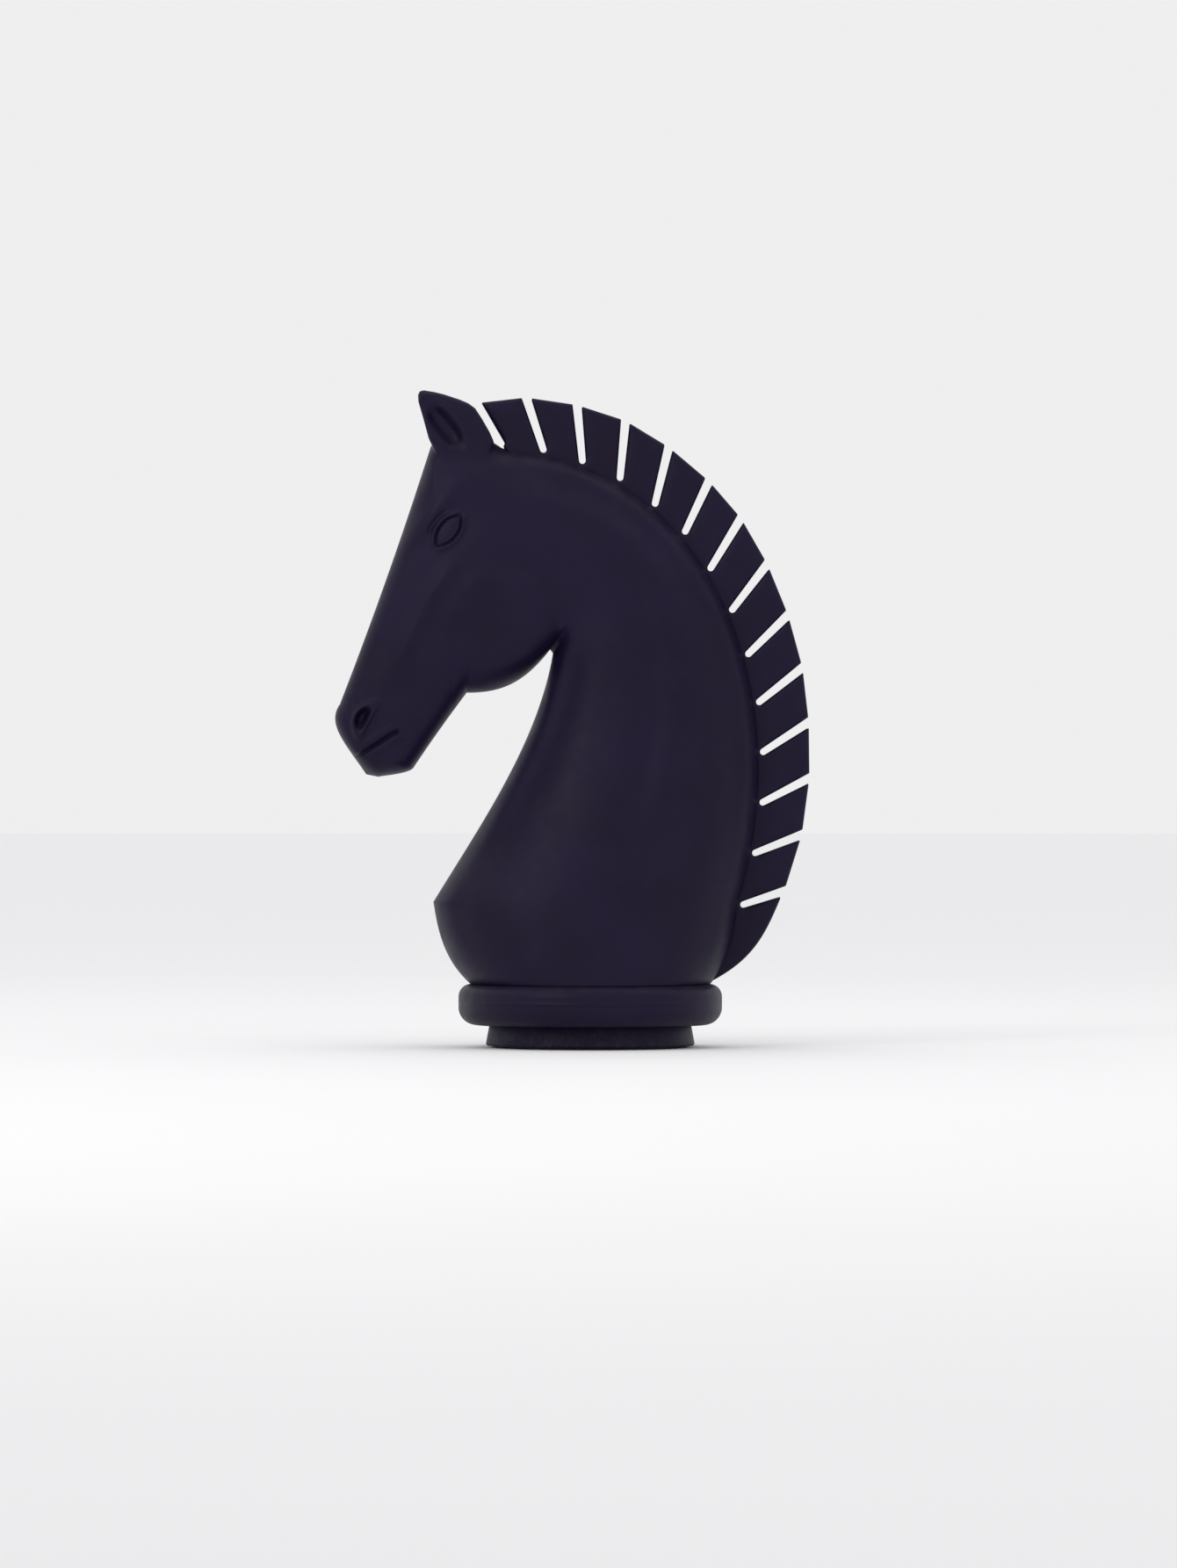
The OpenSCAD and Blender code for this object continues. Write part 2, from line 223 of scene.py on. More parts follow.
def prism(name, outline, y0, y1):
    """A straight prism over an [x, z] outline."""
    n = len(outline)
    v = [(x, y0, z) for x, z in outline] + [(x, y1, z) for x, z in outline]
    f = [list(range(n)), list(range(2 * n - 1, n - 1, -1))]
    after = [*outline[1:], outline[0]]
    area = sum(a[0] * b[1] - b[0] * a[1] for a, b in zip(outline, after))
    f += [[i, i + n, (i + 1) % n + n, (i + 1) % n] for i in range(n)]
    if area < 0:
        f = [q[::-1] for q in f]
    return mesh_object(name, v, f)


def rod(name, x, z, radius, y0, y1, n=64):
    """A cylinder along Y, round (x, z)."""
    t = np.arange(n) * 2 * math.pi / n
    return prism(name, [(x + radius * math.cos(q), z + radius * math.sin(q)) for q in t], y0, y1)


def surface_net(field, lo, hi, h):
    """Closed mesh of the surface where field(x, y, z) is zero, by surface nets pulled on to the field."""
    axes = [np.arange(lo[i], hi[i] + h, h) for i in range(3)]
    f = field(*np.meshgrid(*axes, indexing="ij"))
    neg = f < 0
    corners = [(i, j, k) for i in (0, 1) for j in (0, 1) for k in (0, 1)]
    nx, ny, nz = (s - 1 for s in f.shape)

    def at(a, c):
        return a[c[0]:c[0] + nx, c[1]:c[1] + ny, c[2]:c[2] + nz]

    count = sum(at(neg, c).astype(np.int8) for c in corners)
    active = (count > 0) & (count < 8)
    cell = np.argwhere(active)
    index = -np.ones(active.shape, int)
    index[tuple(cell.T)] = np.arange(len(cell))
    total = np.zeros((len(cell), 3))
    hits = np.zeros(len(cell))
    vals = {c: at(f, c)[tuple(cell.T)] for c in corners}
    for c in corners:
        for ax in range(3):
            if c[ax] == 0:
                d = list(c)
                d[ax] = 1
                a, b = vals[c], vals[tuple(d)]
                cross = (a < 0) != (b < 0)
                t = np.where(cross, a / np.where(cross, a - b, 1), 0)
                p = np.array(c, float)[None, :] + np.eye(3)[ax][None, :] * t[:, None]
                total += p * cross[:, None]
                hits += cross
    v = (cell + total / hits[:, None]) * h + np.array([a[0] for a in axes])
    faces = []
    for ax in range(3):
        u, w = (ax + 1) % 3, (ax + 2) % 3
        one = np.eye(3, dtype=int)
        lo_s = [slice(None)] * 3
        hi_s = [slice(None)] * 3
        lo_s[ax], hi_s[ax] = slice(0, -1), slice(1, None)
        a, b = neg[tuple(lo_s)], neg[tuple(hi_s)]
        edge = np.argwhere(a != b)
        eu, ew = edge[:, u], edge[:, w]
        edge = edge[(eu > 0) & (ew > 0) & (eu < f.shape[u] - 1) & (ew < f.shape[w] - 1)]
        up = a[tuple(edge.T)]
        around = ((0, 0), (1, 0), (1, 1), (0, 1))
        q = np.stack([index[tuple((edge - du * one[u] - dw * one[w]).T)] for du, dw in around], 1)
        faces.append(np.where(up[:, None], q, q[:, ::-1]))
    faces = np.concatenate(faces)
    e = 0.05 * h
    for _ in range(4):
        x, y, z = v.T
        val = field(x, y, z)
        g = np.stack([field(x + e, y, z) - field(x - e, y, z),
                      field(x, y + e, z) - field(x, y - e, z),
                      field(x, y, z + e) - field(x, y, z - e)], 1) / (2 * e)
        step = (val / np.maximum((g**2).sum(1), 0.2))[:, None] * g
        size = np.linalg.norm(step, axis=1)[:, None]
        v = v - step * np.minimum(1, 0.5 * h / np.maximum(size, 1e-9))
    return v, faces


def polygon_distance(px, pz, outline):
    """Signed distance to a polygon in the side plane, negative inside."""
    p = np.stack([np.ravel(px), np.ravel(pz)], 1)
    o = np.asarray(outline, float)
    best = np.full(len(p), 1e18)
    inside = np.zeros(len(p), bool)
    for i in range(len(o)):
        a, b = o[i], o[(i + 1) % len(o)]
        e = b - a
        w = p - a
        t = np.clip((w @ e) / (e @ e), 0, 1)
        best = np.minimum(best, ((w - t[:, None] * e) ** 2).sum(1))
        if a[1] != b[1]:
            c = (a[1] > p[:, 1]) != (b[1] > p[:, 1])
            inside ^= c & (p[:, 0] < (b[0] - a[0]) * (p[:, 1] - a[1]) / (b[1] - a[1]) + a[0])
    return (np.where(inside, -1, 1) * np.sqrt(best)).reshape(np.shape(px))


def curve_distance(x, z, points):
    """Distance to an open line of points, and how far along it, from 0 to 1."""
    pts = np.asarray(points, float)
    best = np.full(np.shape(x), 1e18)
    along = np.zeros(np.shape(x))
    n = len(pts) - 1
    for i in range(n):
        e = pts[i + 1] - pts[i]
        wx, wz = x - pts[i][0], z - pts[i][1]
        t = np.clip((wx * e[0] + wz * e[1]) / (e @ e), 0, 1)
        d = (wx - t * e[0]) ** 2 + (wz - t * e[1]) ** 2
        near = d < best
        best = np.where(near, d, best)
        along = np.where(near, (i + t) / n, along)
    return np.sqrt(best), along


# ---------------------------------------------------------------- head and neck

# Outline of the head and neck from the side, as cubic curves of [x, z] in millimetres.
BASE = float(box_mm("bust_shell_left")[0][2])
RIM = 96.0
chest = [[-RIM, BASE], [-115.5, 68], [-121.5, 90.5], [-125, 115.5]]
throat = [[-125, 115.5], [-87.5, 177], [-41, 243], [-29.5, 315]]
jaw = [[-32, 316.5], [-50.5, 292.5], [-68, 281.5], [-98.5, 282]]
jowl = [[-98.5, 282], [-113.5, 262], [-127.5, 242.5], [-141, 222]]
lip = [[-141, 222], [-145, 217.5], [-161, 216.5], [-169, 215]]
heel = [[RIM, BASE], [109, 66], [116, 88], [118, 112]]
nape = [[118, 112], [173.5, 288.5], [92, 470], [-70, 476.5]]
poll = [[-70, 476.5], [-88, 491], [-112, 493], [-127, 478.5]]
nose = [[-127, 478.5], [-148.6, 410.2], [-172.5, 342.5], [-199.5, 273]]
muzzle = [[-199.5, 273], [-210.2, 257.8], [-197, 243.5], [-178.5, 217]]
withers = [[RIM, BASE + 1.5], [129, 69], [139, 88], [151.5, 118.5]]
# Front curve and its part, back curve and its part, and how many sections lie between them.
SPANS = [(chest, 0, 1, heel, 0, 1, 34), (throat, 0, 0.55, nape, 0, 0.36, 60),
         (throat, 0.55, 1, nape, 0.36, 0.71, 56), (jaw, 0, 1, nape, 0.71, 1, 74),
         (jowl, 0, 0.22, poll, 0, 1, 44), (jowl, 0.22, 1, nose, 0, 0.93, 112),
         (lip, 0, 0.35, nose, 0.93, 1, 16), (lip, 0.35, 1, muzzle, 0, 1, 44)]
# Half thickness at the start of each span and at the end of the last, and how square the section is.
HALF_T = [RIM, 88, 61, 49, 43, 40, 29, 28.5, 19]
SQUARE = [2, 2.1, 2.2, 2.3, 2.4, 2.5, 2.5, 2.4, 2.2]
TIP_ROUND = 17.0


def sections(scale=1.0):
    """Rows of front x and z, back x and z, half thickness and squareness; thinner over the muzzle's tip."""
    rows = []
    for k, (f, f0, f1, b, b0, b1, n) in enumerate(SPANS):
        n = max(2, int(round(n * scale)))
        for i in range(n + (k == len(SPANS) - 1)):
            t = i / n
            rows.append((*bezier(f, f0 + (f1 - f0) * t), *bezier(b, b0 + (b1 - b0) * t),
                         catmull(HALF_T, k + t), catmull(SQUARE, k + t)))
    r = np.array(rows)
    mid = (r[:, :2] + r[:, 2:4]) / 2
    step = np.r_[np.linalg.norm(np.diff(mid, axis=0), axis=1), 0]
    left = step[::-1].cumsum()[::-1]
    q = 1 - np.clip(left / TIP_ROUND, 0, 1)
    r[:, 4] *= np.sqrt(np.clip(1 - q**2, 0.02, 1))
    return r


def lattice(rows, cols):
    """Grids of x, y and z over the right half of the head and neck."""
    v = -np.cos(np.pi * np.arange(cols + 1) / cols)
    f, b, t, s = rows[:, None, 0:2], rows[:, None, 2:4], rows[:, 4:5], rows[:, 5:6]
    xz = f + (b - f) * (v[None, :, None] + 1) / 2
    y = t * np.clip(1 - np.abs(v)[None, :] ** s, 0, 1) ** (1 / s)
    return xz[..., 0], y, xz[..., 1]


# The side plane as a raster of half thicknesses, for smoothing across the lines where the sections turn.
CELL = 1.0
X0, Z0, NX, NZ = -216.0, 44.0, 410, 490


def blur(a, sigma):
    """The raster smoothed by a bell of width sigma, in millimetres."""
    n = int(3 * sigma / CELL)
    k = np.exp(-0.5 * (np.arange(-n, n + 1) * CELL / sigma) ** 2)
    k /= k.sum()
    out = a
    for ax in (0, 1):
        pad = [(0, 0), (0, 0)]
        pad[ax] = (n, n)
        b = np.pad(out, pad)
        acc = np.zeros_like(out)
        for i, w in enumerate(k):
            sl = [slice(None), slice(None)]
            sl[ax] = slice(i, i + out.shape[ax])
            acc += w * b[tuple(sl)]
        out = acc
    return out


def bilinear(a, x, z, x0, z0, cell):
    """A raster that starts at (x0, z0), read between its cells."""
    u = np.clip((x - x0) / cell, 0, a.shape[0] - 1.001)
    w = np.clip((z - z0) / cell, 0, a.shape[1] - 1.001)
    i, k = u.astype(int), w.astype(int)
    fu, fw = u - i, w - k
    return ((a[i, k] * (1 - fu) + a[i + 1, k] * fu) * (1 - fw)
            + (a[i, k + 1] * (1 - fu) + a[i + 1, k + 1] * fu) * fw)


def look_up(a, x, z):
    return bilinear(a, x, z, X0, Z0, CELL)


def outline_points():
    t = np.linspace(0, 1, 60)
    front = np.concatenate([bezier(c, t) for c in (chest, throat, jaw, jowl, lip)])
    back = np.concatenate([bezier(c, t) for c in (heel, nape, poll, nose, muzzle)])
    return np.concatenate([front, back[::-1]])


gx, gy, gz = lattice(sections(3.0), 420)
cell_i = np.clip(np.round((gx.ravel() - X0) / CELL).astype(int), 0, NX - 1)
cell_k = np.clip(np.round((gz.ravel() - Z0) / CELL).astype(int), 0, NZ - 1)
flat = cell_i * NZ + cell_k
hits = np.bincount(flat, minlength=NX * NZ).reshape(NX, NZ).astype(float)
total = np.bincount(flat, weights=gy.ravel(), minlength=NX * NZ).reshape(NX, NZ)
seen = (hits > 0).astype(float)
height = np.where(hits > 0, total / np.maximum(hits, 1), 0)
spread = blur(seen, 1.5)
height = np.where(seen > 0, height, blur(height, 1.5) / np.maximum(spread, 1e-6) * (spread > 0.3))
seen = (height > 0).astype(float)
soft = blur(height * seen, 9.0) / np.maximum(blur(seen, 9.0), 1e-6)
rx, rz = np.meshgrid(X0 + np.arange(NX) * CELL, Z0 + np.arange(NZ) * CELL, indexing="ij")
coarse = polygon_distance(rx[::3, ::3], rz[::3, ::3], outline_points()[::2])
inner = -np.repeat(np.repeat(coarse, 3, 0), 3, 1)[:NX, :NZ]
inner = blur(inner, 2.0)
SOFTER = (soft - height) * smooth(inner, 5, 24) * smooth(rz, 66, 96)


def oriented(x, z, cx, cz, degrees):
    """Places along and across an axis through (cx, cz), turned by degrees."""
    c, s = math.cos(math.radians(degrees)), math.sin(math.radians(degrees))
    return (x - cx) * c + (z - cz) * s, -(x - cx) * s + (z - cz) * c


def gauss(d, s):
    return np.exp(-0.5 * (d / s) ** 2)


# Where the details sit: cheek as [x, z, radius], eye and nostril as [x, z, turn], the rest as lines.
CHEEK = (-76.0, 337.0, 49.0)
EYE = (-112.5, 410.0, -128.0)
NOSTRIL = (-181.5, 262.0, 62.0)
MOUTH = [(-190, 229.5), (-181, 233.5), (-170, 240.5), (-158, 248.5), (-149.5, 252)]
CREST = [(-103, 391), (-128, 356), (-147, 318), (-163, 286)]
GULLET = [(-14, 322), (-16, 290), (-28, 250), (-48, 208), (-72, 166), (-92, 132)]
NECK_LINE = [(4, 404), (34, 366), (48, 318), (50, 262), (40, 206), (22, 160)]
MANE_ROOT = bezier(nape, np.linspace(0.02, 1, 40))


def relief(x, z):
    """What the sculpted details add to the half thickness, in millimetres."""
    out = np.zeros(np.shape(x))
    # cheek: a round plate, sharpest at the back and below, fading into the face
    cx, cz, r = CHEEK
    dx, dz = x - cx, z - cz
    d = np.hypot(dx, dz)
    a = np.arctan2(dz, dx)
    back = 0.5 + 0.5 * np.cos(a - math.radians(-12))
    plate = 1 - smooth(d, r - 16, r + 3)
    out += plate * (2.6 + 3.2 * smooth(back, 0.3, 0.9) * smooth(d, 0, 30))
    out -= 2.4 * gauss(d - r - 5, 4.5) * smooth(back, 0.42, 0.8)
    # bony crest from under the eye to the nostril, with a hollow on either side
    d, t = curve_distance(x, z, CREST)
    fade = smooth(t, 0.0, 0.25) * (1 - smooth(t, 0.7, 1.0))
    out += 2.4 * gauss(d, 4.5) * fade
    out -= 1.0 * gauss(d - 13, 6.0) * fade
    # eye: socket, ball, two lids, the crease over the upper lid and the brow
    u, v = oriented(x, z, *EYE)
    out -= 3.6 * np.exp(-0.5 * ((u / 18) ** 2 + (v / 12) ** 2))
    w = np.clip(np.abs(u) / 16, 0, 1)
    half = 7.2 * (1 - w**2.2)
    e = np.hypot(np.abs(v), np.maximum(np.abs(u) - 16, 0)) - half
    e = e / np.hypot(1, 0.99 * w**1.2)
    in_eye = smooth(-e, -0.3, 1.6)
    ball = np.sqrt(np.clip(1 - (u / 16.5) ** 2 - (v / 9.4) ** 2, 0, 1))
    out += in_eye * (6.0 * ball - 1.6)
    near = 1 - smooth(np.abs(u), 15, 21)
    out += 2.7 * gauss(e - 2.1, 1.35) * near * smooth(e, -1.2, 0.6)
    out -= 1.3 * gauss(e - 6.2, 1.3) * near * smooth(-v, 0, 3) * (1 - smooth(np.abs(u), 8, 15))
    bu, bv = oriented(x, z, EYE[0] - 14.5, EYE[1] + 10.5, EYE[2])
    out += 4.0 * np.exp(-0.5 * ((bu / 15) ** 2 + (bv / 5.0) ** 2))
    # nostril: a comma-shaped hollow with a raised rim
    u, v = oriented(x, z, *NOSTRIL)
    v = v + 0.018 * u**2
    n = np.sqrt((u / 10.5) ** 2 + (v / 4.8) ** 2)
    out += 2.6 * gauss(n - 1.25, 0.26)
    out -= 5.5 * (1 - smooth(n, 0.25, 1.05))
    # mouth line between two soft lips
    d, t = curve_distance(x, z, MOUTH)
    fade = 1 - smooth(t, 0.86, 1.0)
    out += 1.3 * gauss(d - 4.5, 2.6) * fade
    out -= 2.7 * gauss(d, 1.15) * fade
    # chin swelling
    out += 1.6 * np.exp(-0.5 * (((x + 156) / 10) ** 2 + ((z - 228) / 7) ** 2))
    # neck: groove behind the throat, the long muscle line, and the root of the mane
    d, t = curve_distance(x, z, GULLET)
    out -= 4.4 * gauss(d, 7.5) * smooth(t, 0, 0.12) * (1 - smooth(t, 0.55, 1.0))
    d, t = curve_distance(x, z, NECK_LINE)
    out -= 3.6 * gauss(d, 9.0) * smooth(t, 0, 0.2) * (1 - smooth(t, 0.7, 1.0))
    d, t = curve_distance(x, z, MANE_ROOT)
    out -= 1.5 * gauss(d - 24, 7.0) * smooth(t, 0.05, 0.2) * (1 - smooth(t, 0.86, 1.0))
    out += 1.2 * gauss(d - 10, 5.0) * smooth(t, 0.05, 0.2) * (1 - smooth(t, 0.86, 1.0))
    return out


def surface_y(x, y, z):
    """Half thickness of the carved skin where the plain one is y."""
    return y + look_up(SOFTER, x, z) + relief(x, z) * smooth(y, 1.5, 13)


def grid_faces(n, w):
    """Faces of a solid over n sections of w points each: the skin, the flat side and the two ends."""
    i, j = np.meshgrid(np.arange(n - 1), np.arange(w - 1), indexing="ij")
    skin = np.stack([i * w + j, i * w + j + 1, (i + 1) * w + j + 1, (i + 1) * w + j], -1)
    q = np.arange(n - 1)
    flat = [np.stack([(q + 1) * w - 1, q * w, (q + 2) * w - 1], -1),
            np.stack([q * w, (q + 1) * w, (q + 2) * w - 1], -1)]
    ends = [list(range(w - 1, -1, -1)), [(n - 1) * w + j for j in range(w)]]
    return skin.reshape(-1, 4).tolist() + np.concatenate(flat).tolist() + ends


def chords(r):
    """Unit direction of each section from front to back."""
    d = r[:, 2:4] - r[:, 0:2]
    return d / np.linalg.norm(d, axis=1)[:, None]


# Places where the skin is split finer before it is carved: [x, z, reach in x, reach in z, cuts].
FINE = [(EYE[0], EYE[1], 23, 21, 2), (-172, 249, 27, 30, 1)]
COLUMNS = 132
SEAM = 0.7


def make_half(side):
    """One half of the head and neck with its carving, closed; side is -1 for the left and 1 for the right."""
    r = sections()
    x, y, z = lattice(r, COLUMNS)
    o = mesh_object("shell", np.stack([x, y, z], -1).reshape(-1, 3), grid_faces(len(r), COLUMNS + 1))
    bm = bmesh.new()
    bm.from_mesh(o.data)
    for cx, cz, rx, rz, cuts in FINE:
        edges = set()
        for f in bm.faces:
            c = f.calc_center_median() / MM
            inside = ((c.x - cx) / rx) ** 2 + ((c.z - cz) / rz) ** 2 < 1
            if inside and len(f.verts) == 4 and min(v.co.y for v in f.verts) > 0.5 * MM:
                edges.update(f.edges)
        edges = sorted(edges, key=lambda e: e.index)
        bmesh.ops.subdivide_edges(bm, edges=edges, cuts=cuts, use_grid_fill=True)
        bm.edges.index_update()
    bm.to_mesh(o.data)
    bm.free()
    co = corners_of(o.data)[0] / MM
    rim = co[:, 1] < 0.02
    co[:, 1] = np.where(rim, 0.05, np.maximum(surface_y(*co.T), 0.05))
    # a fine groove where the two shells meet
    w, n, u = COLUMNS + 1, len(r), chords(r) * SEAM
    for column, turn in ((0, 1), (COLUMNS, -1)):
        at = np.arange(n) * w + column
        co[at, 0] += turn * u[:, 0]
        co[at, 2] += turn * u[:, 1]
    co[:, 1] *= side
    o.data.vertices.foreach_set("co", (co * MM).ravel())
    face_outwards(o.data)
    o.data.update()
    return o


SKIN_WALL = 4.5
# The wall is thicker where the sections crowd together in the throat's notch.
NOTCH_ROW, NOTCH_REACH, NOTCH_WALL = 0.14, 0.14, 12.0
CAVITY_COLUMNS = 48


def make_cavity(side):
    """The hollow of one shell: it follows the skin inside, and keeps clear of the throat's notch."""
    scale, crop = 0.3, (2, -12)
    r = sections(scale)
    counts = [max(2, int(round(s[6] * scale))) for s in SPANS]
    at = (np.arange(len(r)) - sum(counts[:3])) / counts[3]
    r = r[crop[0]:crop[1]]
    notch = NOTCH_WALL * gauss(at - NOTCH_ROW, NOTCH_REACH)[crop[0]:crop[1], None]
    u = chords(r)
    r[:, 0:2] += u * (SKIN_WALL + notch)
    r[:, 2:4] -= u * SKIN_WALL
    r[:, 4] = np.maximum(r[:, 4] - SKIN_WALL, 2)
    x, y, z = lattice(r, CAVITY_COLUMNS)
    carved = np.minimum(relief(x, z), 0) * smooth(y, 1.5, 13)
    carved -= 6 * gauss(np.hypot(x - NOSTRIL[0], z - NOSTRIL[1]), 11)
    carved -= 3 * gauss(np.hypot(x - EYE[0], z - EYE[1]), 15) + 3 * gauss(curve_distance(x, z, MOUTH)[0], 8)
    y = np.maximum(y + look_up(SOFTER, x, z) + carved, 0.3)
    y[:, [0, -1]] = -1.0
    verts = np.stack([x, side * y, z], -1).reshape(-1, 3)
    return mesh_object("cavity", verts, grid_faces(len(r), CAVITY_COLUMNS + 1))


SLOTS = [[[-69.5, 478], [-90.5, 512.5]], [[-36.5, 473], [-51, 517]], [[-6, 464], [-10.5, 511]],
         [[23.5, 450.5], [28, 498.5]], [[51, 430], [62.5, 477.5]], [[74.5, 408], [94.5, 450.5]],
         [[94.5, 379], [120, 421]], [[111.5, 346], [141, 384.5]], [[124, 311], [157.5, 344]],
         [[132.5, 273], [169, 302]], [[135.5, 233.5], [174, 258.5]], [[135, 193.5], [174.5, 214]],
         [[129, 153.5], [168.5, 169]], [[119.5, 112.5], [154.5, 124]]]
SLOT_ROOT, SLOT_MOUTH, TONGUE = 5.3, 7.0, 24.0
mane_lo, mane_hi = box_mm("mane_crest")
MANE_HALF = float(mane_hi[1])
MANE_CELL = 0.5


def mane_outline(grow=0.0):
    """The crest from the side, with the part that is let into the shells, as [x, z]."""
    t = np.linspace(0, 1, 25)
    p, q = bezier(nape, t), bezier(nape, t + 0.001)
    d = q - p
    d /= np.linalg.norm(d, axis=1)[:, None]
    within = p + (TONGUE + grow) * np.stack([-d[:, 1], d[:, 0]], 1)
    pts = [[97 - TONGUE, BASE + 12], [92, BASE + 12], [92, BASE + 1]]
    pts += bezier(withers, t).tolist()
    pts += [[s[1][0] + grow, s[1][1] + grow] for s in SLOTS[::-1]]
    pts += [[SLOTS[0][0][0] - grow, SLOTS[0][0][1]]]
    pts += within[::-1][1:].tolist()
    return pts


def mane_field():
    """Rasters over the side plane: distance to the slotted crest, and distance from the neck's line."""
    outline = mane_outline()
    edge = bezier(nape, np.linspace(0, 1, 40))
    slots = []
    for a, b in SLOTS:
        a, b = np.array(a, float), np.array(b, float)
        u = (b - a) / np.linalg.norm(b - a)
        slots.append((a + u * SLOT_ROOT / 2, u, np.linalg.norm(b - a)))
    x = np.arange(mane_lo[0] - 6, mane_hi[0] + 8, MANE_CELL)
    z = np.arange(mane_lo[2] - 6, mane_hi[2] + 8, MANE_CELL)
    gx, gz = np.meshgrid(x, z, indexing="ij")
    d = polygon_distance(gx, gz, outline)
    for c, u, length in slots:
        wx, wz = gx - c[0], gz - c[1]
        t = wx * u[0] + wz * u[1]
        s = np.abs(-wx * u[1] + wz * u[0])
        half = SLOT_ROOT / 2 + (SLOT_MOUTH - SLOT_ROOT) / 2 * np.clip(t, 0, None) / length
        f = np.where(t > 0, s - half, np.hypot(t, s) - SLOT_ROOT / 2)
        d = np.maximum(d, -f)
    out, _ = curve_distance(gx, gz, edge)
    return x, z, d, out


def make_mane():
    """The slotted crest, a little thinner outwards, with rounded edges."""
    ax, az, dist, out = mane_field()
    radius = 3.0
    crown = MANE_HALF - 0.9 * smooth(out, 4, 40) - 1.3 * (1 - smooth(-dist, 0, 9)) * smooth(out, 2, 9)

    def field(x, y, z):
        d = bilinear(dist, x, z, ax[0], az[0], MANE_CELL)
        h = bilinear(crown, x, z, ax[0], az[0], MANE_CELL)
        a, b = d + radius, np.abs(y) - h + radius
        return np.minimum(np.maximum(a, b), 0) + np.hypot(np.maximum(a, 0), np.maximum(b, 0)) - radius

    v, f = surface_net(field, mane_lo - 2.61, mane_hi + 2.57, 1.25)
    return mesh_object("mane", v, f, sharp=50)


EAR = [[-112, 452], [-121, 468], [-128.5, 484], [-132.8, 500], [-136.6, 513], [-137, 518.5],
       [-135.6, 521.6], [-132.5, 522.4], [-124, 521], [-116, 519], [-104, 515], [-97, 512],
       [-91.5, 508], [-86, 499.5], [-80, 489], [-76, 480], [-84, 464], [-92, 452]]
EAR_AXIS = [(-129.5, 511), (-121, 500), (-112, 489), (-104, 478)]
EAR_ROUND = 3.6
EAR_LO, EAR_HI, EAR_STEP = (-141.3, 3.2, 446.4), (-70, 33, 527), 1.05
# Where the ear grows out of the head.
ROOT_X, ROOT_Z = (-140, -66), 446


def ear_field(x, y, z):
    """Distance to the right ear: a leaf with a hollow on its outer side."""
    h = np.clip((z - 474) / 48, 0, 1.05)
    d, t = curve_distance(x, z, EAR_AXIS)
    width = 4.6 + 6.2 * np.sin(np.pi * np.clip(t * 0.86 + 0.06, 0, 1)) ** 0.8
    along = smooth(t, -0.02, 0.3) * (1 - smooth(t, 0.86, 1.0) * 0.75)
    hollow = 7.2 * (1 - smooth(d / width, 0.15, 1.0)) * along
    rim = 0.9 * gauss(d / width - 1.18, 0.22)
    outer = 27.0 - 7.5 * h**1.5 - hollow + rim
    inner = 8.5 + 3.5 * h**2
    a = polygon_distance(x, z, EAR) + EAR_ROUND
    b = np.maximum(y - outer, inner - y) + EAR_ROUND
    return np.minimum(np.maximum(a, b), 0) + np.hypot(np.maximum(a, 0), np.maximum(b, 0)) - EAR_ROUND


def make_ear(side):
    v, f = surface_net(ear_field, EAR_LO, EAR_HI, EAR_STEP)
    v[:, 1] *= side
    return mesh_object("ear", v, f)


# Room round the crest where it is let into the shells.
GROOVE_ROOM = 0.25


def relax(o, near, rounds):
    """Smooths the mesh where near(x, y, z) is above zero."""
    me = o.data
    n = len(me.vertices)
    co = np.zeros(n * 3)
    me.vertices.foreach_get("co", co)
    co = co.reshape(-1, 3) / MM
    e = np.zeros(len(me.edges) * 2, int)
    me.edges.foreach_get("vertices", e)
    e = e.reshape(-1, 2)
    w = near(*co.T)[:, None]
    deg = np.bincount(e.ravel(), minlength=n)[:, None]
    for _ in range(rounds):
        s = np.zeros_like(co)
        np.add.at(s, e[:, 0], co[e[:, 1]])
        np.add.at(s, e[:, 1], co[e[:, 0]])
        co = co + (s / np.maximum(deg, 1) - co) * w * 0.6
    me.vertices.foreach_set("co", (co * MM).ravel())
    me.update()


SLOPE = np.hypot(*np.gradient(blur(height, 1.5), CELL))
# A plug over a screw, as [radius, height over the skin].
PLUG = [(0.0, 0.15), (0.7, 0.15), (1.1, 0.45), (2.8, 0.5), (4.4, 0.5), (5.3, 0.42), (5.8, 0.15),
        (6.1, -0.3), (6.18, -0.9), (6.18, -3.2), (0.0, -3.2)]
WELL_R = 6.5
WELL_DEPTH = 3.6


def make_caps(screws, side, tree):
    """Plugs flush with the carved skin, and each well's place with the lowest and highest skin round it."""
    verts, faces, spans = [], [], []
    n = 48
    turn = np.arange(n) * 2 * math.pi / n

    def skin(x, z):
        hit = tree.ray_cast(Vector((x, 120 * side, z)) * MM, Vector((0, -side, 0)))[0]
        return hit.y / MM * side

    for sx, sz in screws:
        start = len(verts)
        ys = []
        for r, lift in PLUG:
            if r == 0:
                verts.append((sx, side * (skin(sx, sz) + lift), sz))
                continue
            for t in turn:
                x, z = sx + r * math.cos(t), sz + r * math.sin(t)
                y = skin(x, z)
                ys.append(y)
                verts.append((x, side * (y + lift), z))
        rings = [start] + [start + 1 + n * k for k in range(len(PLUG) - 2)]
        last = start + 1 + n * (len(PLUG) - 2)
        for j in range(n):
            k = (j + 1) % n
            faces.append([start, rings[1] + j, rings[1] + k])
            faces += [[a + j, b + j, b + k, a + k] for a, b in zip(rings[1:-1], rings[2:])]
            faces.append([rings[-1] + k, rings[-1] + j, last])
        spans.append((sx, sz, min(ys), max(ys)))
    return mesh_object("caps", verts, faces, 50), spans


